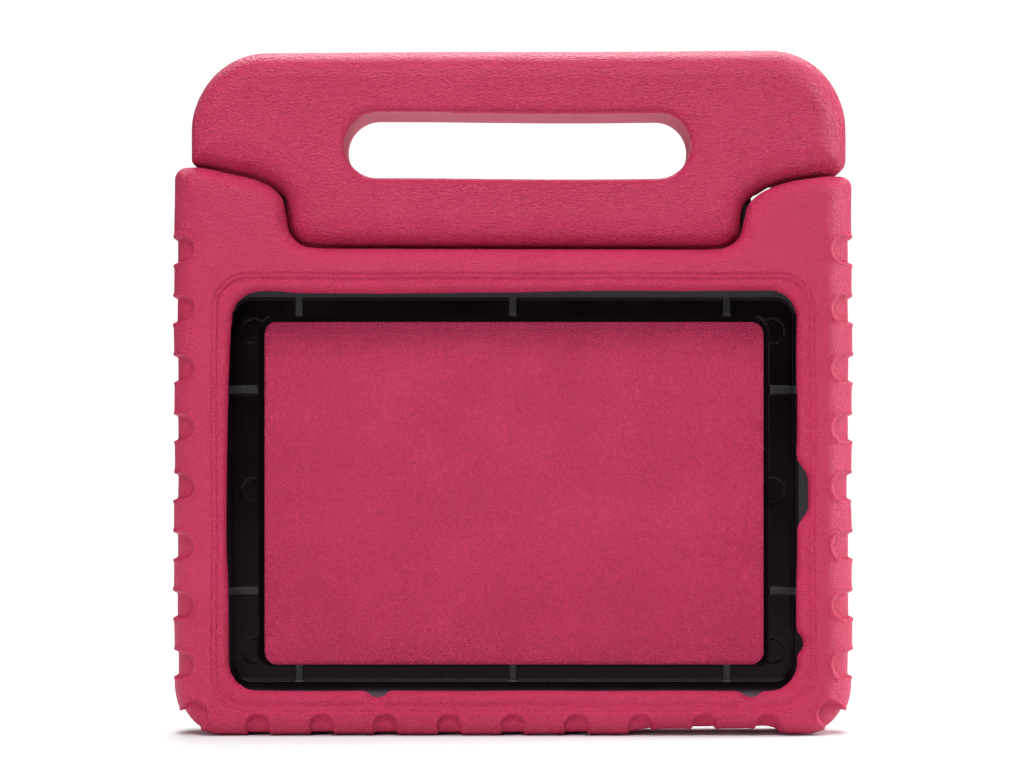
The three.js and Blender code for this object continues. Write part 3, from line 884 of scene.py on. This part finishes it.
def finish_hinge_nodes():
    """Better materials and fine edges for the CAD nodes that stay in view."""
    gloss = plastic(
        "hinge_plastic", (0.004, 0.004, 0.005), (0.009, 0.009, 0.010), 0.30, 0.42, 0.9, 0.03,
        Specular_IOR_Level=0.3,
    )
    core = plastic("core_plastic", (0.07, 0.07, 0.08), (0.11, 0.11, 0.12), 0.45, 0.6, 1.2, 0.06)
    metal = steel()
    for name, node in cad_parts.items():
        if name in ("foam_shell", "handle_foam", "inner_tray"):
            continue
        material = metal
        if name.startswith("hinge_"):
            material = gloss
        if name == "handle_core":
            material = core
        node.data.materials.clear()
        node.data.materials.append(material)
        edge = node.modifiers.new("edge", "BEVEL")
        edge.width = 0.15 * MM
        edge.segments = 2
        edge.limit_method = "ANGLE"
        edge.angle_limit = math.radians(35)


# ---- Stage, in metres ----

CAMERA = {"place": (-0.0004, -0.82, 0.100), "lens": 72.3, "shift_y": 0.095}
CASE_MIDDLE = Vector((0, 0, 0.13))
WORLD_SHOWN = 1.05
WORLD_LIGHT = 0.13
FLOOR = {"side": 0.55, "front": -1.05, "back": 0.40}


def make_floor():
    """A pale table top, longer in front of the case than behind it."""
    mesh = bpy.data.meshes.new("floor")
    side, front, back = FLOOR["side"], FLOOR["front"], FLOOR["back"]
    corners = [(-side, front, 0), (side, front, 0), (side, back, 0), (-side, back, 0)]
    mesh.from_pydata(corners, [], [(0, 1, 2, 3)])
    floor = bpy.data.objects.new("floor", mesh)
    bpy.context.scene.collection.objects.link(floor)
    nodes = Nodes("floor_white")
    speck = nodes.noise(nodes.stretch((0.01, 0.01, 0.01)), 1.0)
    colour = nodes.ramp(speck, (0.3, (0.77, 0.80, 0.80)), (0.7, (0.79, 0.82, 0.82)))
    nodes.feed(nodes.shader.inputs["Base Color"], colour)
    nodes.shader.inputs["Roughness"].default_value = 0.9
    nodes.shader.inputs["Specular IOR Level"].default_value = 0.1
    mesh.materials.append(nodes.material)


def make_world():
    """White to the camera, and a dimmer even light on the object."""
    world = bpy.data.worlds.new("studio")
    world.use_nodes = True
    tree = world.node_tree
    tree.nodes.clear()
    shown = tree.nodes.new("ShaderNodeBackground")
    shown.inputs["Strength"].default_value = WORLD_SHOWN
    light = tree.nodes.new("ShaderNodeBackground")
    light.inputs["Strength"].default_value = WORLD_LIGHT
    rays = tree.nodes.new("ShaderNodeLightPath")
    mix = tree.nodes.new("ShaderNodeMixShader")
    out = tree.nodes.new("ShaderNodeOutputWorld")
    for background in (shown, light):
        background.inputs["Color"].default_value = (1, 1, 1, 1)
    tree.links.new(rays.outputs["Is Camera Ray"], mix.inputs["Fac"])
    tree.links.new(light.outputs[0], mix.inputs[1])
    tree.links.new(shown.outputs[0], mix.inputs[2])
    tree.links.new(mix.outputs[0], out.inputs["Surface"])
    bpy.context.scene.world = world


def softbox(name, place, width, height, power):
    """A rectangular light that points at the middle of the case."""
    data = bpy.data.lights.new(name, "AREA")
    data.shape = "RECTANGLE"
    data.size = width
    data.size_y = height
    data.energy = power
    lamp = bpy.data.objects.new(name, data)
    lamp.location = place
    lamp.rotation_euler = (CASE_MIDDLE - Vector(place)).to_track_quat("-Z", "Y").to_euler()
    bpy.context.scene.collection.objects.link(lamp)


def overhead_sun(name, strength, soft_deg):
    """Even light from above that reaches the far floor too."""
    data = bpy.data.lights.new(name, "SUN")
    data.energy = strength
    data.angle = math.radians(soft_deg)
    lamp = bpy.data.objects.new(name, data)
    bpy.context.scene.collection.objects.link(lamp)


def make_lights():
    overhead_sun("overhead", 1.2, 16)
    softbox("top_back", (0.05, 0.70, 1.10), 1.0, 0.4, 12.0)
    softbox("top_front", (0.0, -0.60, 1.08), 0.9, 0.3, 10.0)
    softbox("key_left", (-0.85, -1.10, 0.45), 0.5, 0.5, 4.4)
    softbox("rim", (1.10, 0.12, 0.40), 0.3, 0.9, 14.0)


def make_camera():
    """Level, a little below the middle, and shifted up to frame the case."""
    data = bpy.data.cameras.new("camera")
    data.sensor_width = 36
    data.lens = CAMERA["lens"]
    data.shift_y = CAMERA["shift_y"]
    data.clip_start = 0.01
    camera = bpy.data.objects.new("camera", data)
    camera.location = CAMERA["place"]
    camera.rotation_euler = (math.radians(90), 0, 0)
    bpy.context.scene.collection.objects.link(camera)
    bpy.context.scene.camera = camera


make_camera()
make_world()
make_floor()
make_lights()
make_body()
make_handle()
make_tray()
finish_hinge_nodes()
bpy.context.scene.view_settings.view_transform = "Standard"
